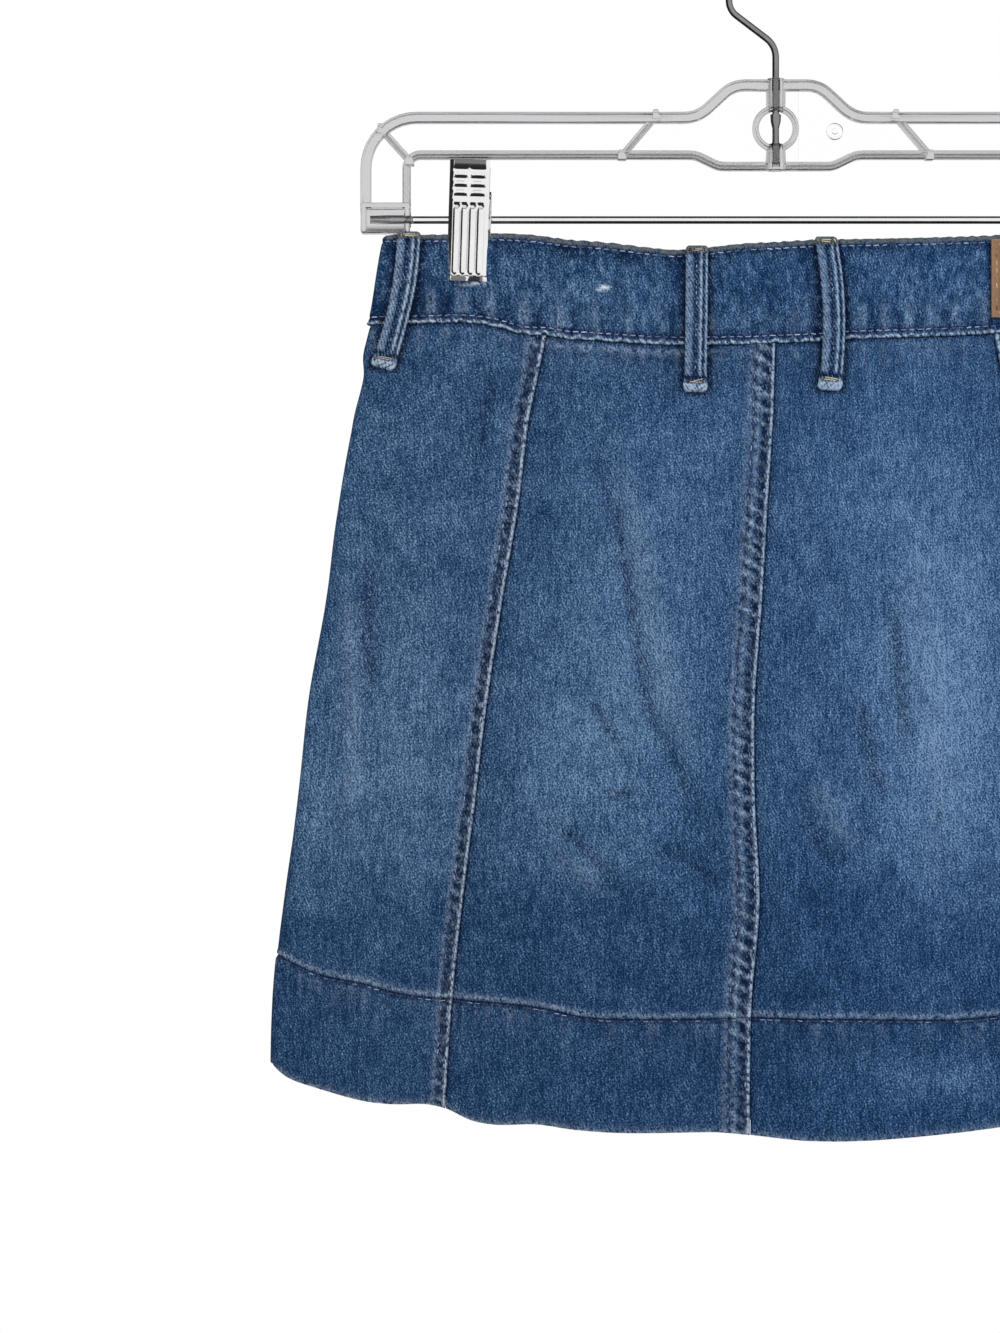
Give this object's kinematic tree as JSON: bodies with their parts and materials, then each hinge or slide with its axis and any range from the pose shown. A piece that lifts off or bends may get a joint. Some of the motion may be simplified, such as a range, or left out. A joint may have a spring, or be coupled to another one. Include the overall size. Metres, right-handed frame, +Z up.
{
  "type": "denim skirt on a clip hanger",
  "caption": "Faded blue A-line denim mini skirt with princess seams, a wide waistband with belt loops and a separate hem band, hung by its waistband from a clear clip hanger with a wire hook",
  "frame": {"origin": "the highest point inside the hook, where a rail bears on it, in the hanger's middle plane", "axes": "+Z up, opposite to gravity as it hangs; the garment's back faces -Y and its front, with the button, faces +Y; +X is the wearer's right, along the rod"},
  "size_m": [0.4133, 0.0393, 0.5122],
  "materials": {
    "denim": "mid-blue indigo twill, washed, faded pale in the middle of each panel and darker along the seams",
    "loop_denim": "the same twill on the bias, worn paler along the folded edges",
    "leather": "plain tan brown leather, slightly worn at its edges, bare",
    "button_metal": "antiqued copper-coloured metal",
    "clear_plastic": "clear moulded plastic, glossy",
    "bright_steel": "bright plated steel wire, rod and pressed clips"
  },
  "bodies": {
    "root": {"waistband": "denim", "panel_back_side_left": "denim", "panel_back_left": "denim", "panel_back_right": "denim", "panel_back_side_right": "denim", "panel_front_right": "denim", "panel_front_left": "denim", "hem_band_back_side_left": "denim", "hem_band_back_left": "denim", "hem_band_back_right": "denim", "hem_band_back_side_right": "denim", "hem_band_front_right": "denim", "hem_band_front_left": "denim", "belt_loop_back_left": "loop_denim", "belt_loop_back_right": "loop_denim", "belt_loop_side_left": "loop_denim", "belt_loop_side_right": "loop_denim", "belt_loop_front_left": "loop_denim", "belt_loop_front_right": "loop_denim", "leather_patch": "leather", "waist_button": "button_metal", "hanger_frame": "clear_plastic", "hanger_hook": "bright_steel", "hanger_rod": "bright_steel", "clip_left_back_plate": "bright_steel", "clip_left_front_plate": "bright_steel", "clip_left_spring": "bright_steel", "clip_right_back_plate": "bright_steel", "clip_right_front_plate": "bright_steel", "clip_right_spring": "bright_steel"}
  },
  "joints": []
}
